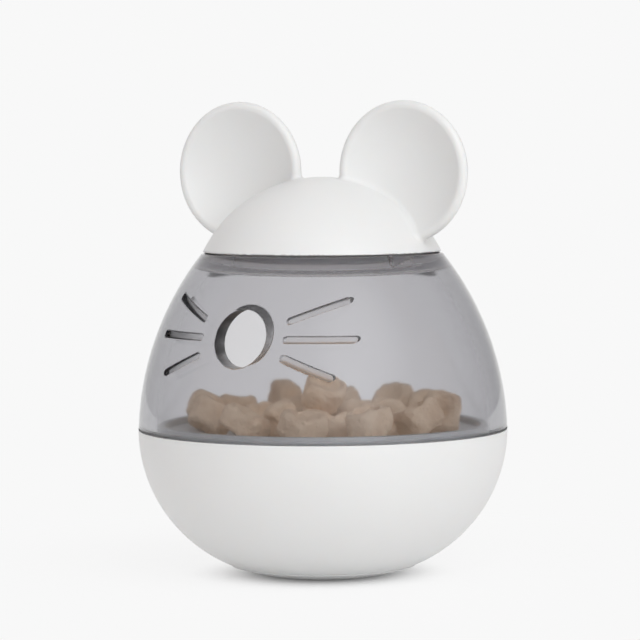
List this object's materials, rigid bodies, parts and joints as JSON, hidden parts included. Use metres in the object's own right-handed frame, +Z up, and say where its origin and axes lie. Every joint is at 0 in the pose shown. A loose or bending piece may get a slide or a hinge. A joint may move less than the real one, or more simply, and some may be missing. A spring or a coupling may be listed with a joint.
{
  "type": "cat treat dispenser toy",
  "caption": "Roly-poly mouse with a weighted white bowl, a smoky dome whose nose hole drops treats, and a twist-off cap with round dished ears.",
  "frame": {"origin": "under the middle of the foot, on the surface that the toy stands on", "axes": "+Z up along the body's axis, -Y out of the face through the nose hole, X from ear to ear"},
  "size_m": [0.089, 0.089, 0.114],
  "materials": {
    "white_plastic": "satin",
    "smoky_plastic": "gloss",
    "steel": "satin",
    "screw_steel": "gloss",
    "grey_rubber": "matte",
    "biscuit": "matte"
  },
  "bodies": {
    "base": {"base_shell": "white_plastic", "counterweight": "steel", "weight_screws": "screw_steel", "treat_floor": "white_plastic", "dome": "smoky_plastic", "treats": "biscuit"},
    "seal": {"cap_seal": "grey_rubber"},
    "cap": {"cap": "white_plastic"}
  },
  "joints": [
    {"name": "cap_lift", "type": "slide", "parent": "base", "child": "seal", "axis": [0, 0, 1], "range_m": [0, 0.012]},
    {"name": "cap_turn", "type": "hinge", "parent": "seal", "child": "cap", "pos_m": [0, 0, 0.0776], "axis": [0, 0, 1], "range_deg": [0, 90]}
  ],
  "couplings": [
    {"joint": "cap_lift", "follows": "cap_turn", "m_per_rad": 0.0076394}
  ]
}
